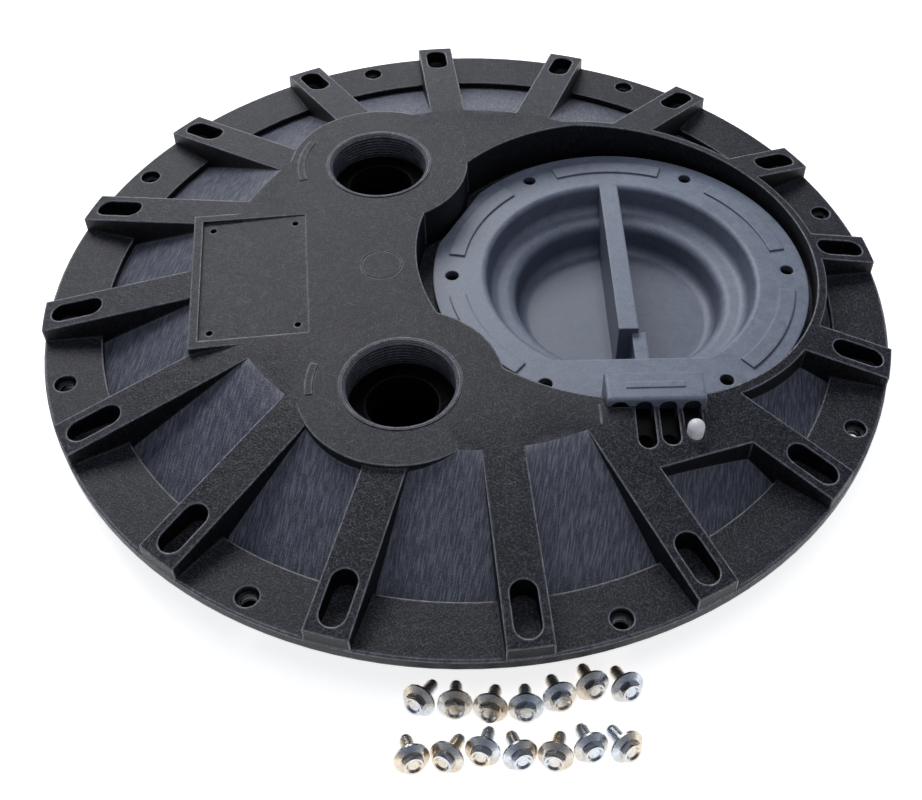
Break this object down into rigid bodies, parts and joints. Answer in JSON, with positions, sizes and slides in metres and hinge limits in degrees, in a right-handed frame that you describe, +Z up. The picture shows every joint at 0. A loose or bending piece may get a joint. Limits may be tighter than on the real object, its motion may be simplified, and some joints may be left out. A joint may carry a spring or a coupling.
{
  "type": "sewage basin cover",
  "caption": "Round ribbed dome cover for a sewage or sump basin, with a bolted inspection cover in a well, two threaded pipe ports, a cord seal and its loose bolts.",
  "frame": {"origin": "centre of the rim bolt circle, on the flange's underside that seats on the basin", "axes": "+Z up out of the basin; +X from the label panel, between the two ports, to the inspection cover"},
  "size_m": [0.724, 0.7892, 0.1003],
  "materials": {
    "black_plastic": "satin, fine moulded grain",
    "grey_plastic": "satin moulded",
    "seal_rubber": "matte",
    "white_plastic": "semi-gloss",
    "insert_brass": "turned",
    "stainless": "bright"
  },
  "bodies": {
    "cover": {"cover_body": "black_plastic", "well_wall": "black_plastic", "cord_deck": "black_plastic", "well_ledge": "black_plastic", "cord_housing": "black_plastic", "port_socket_1": "black_plastic", "port_socket_2": "black_plastic", "inspection_gasket": "seal_rubber", "cord_grommet_front": "seal_rubber", "cord_grommet_back": "seal_rubber", "rim_gasket": "seal_rubber", "threaded_insert_1": "insert_brass", "threaded_insert_2": "insert_brass", "threaded_insert_3": "insert_brass", "threaded_insert_4": "insert_brass", "threaded_insert_5": "insert_brass", "threaded_insert_6": "insert_brass", "rim_bolt_1": "stainless", "rim_bolt_2": "stainless", "rim_bolt_3": "stainless", "rim_bolt_4": "stainless", "rim_bolt_5": "stainless", "rim_bolt_6": "stainless", "rim_bolt_7": "stainless", "rim_bolt_8": "stainless", "inspection_bolt_1": "stainless", "inspection_bolt_2": "stainless", "inspection_bolt_3": "stainless", "inspection_bolt_4": "stainless", "inspection_bolt_5": "stainless", "inspection_bolt_6": "stainless"},
    "inspection": {"inspection_cover": "grey_plastic"},
    "plug": {"cord_plug": "white_plastic"}
  },
  "joints": [
    {"name": "inspection_cover_lift", "type": "slide", "parent": "cover", "child": "inspection", "axis": [0, 0, 1], "range_m": [0, 0.12]},
    {"name": "cord_plug_pull", "type": "slide", "parent": "cover", "child": "plug", "axis": [0, 0, 1], "range_m": [0, 0.06]}
  ]
}
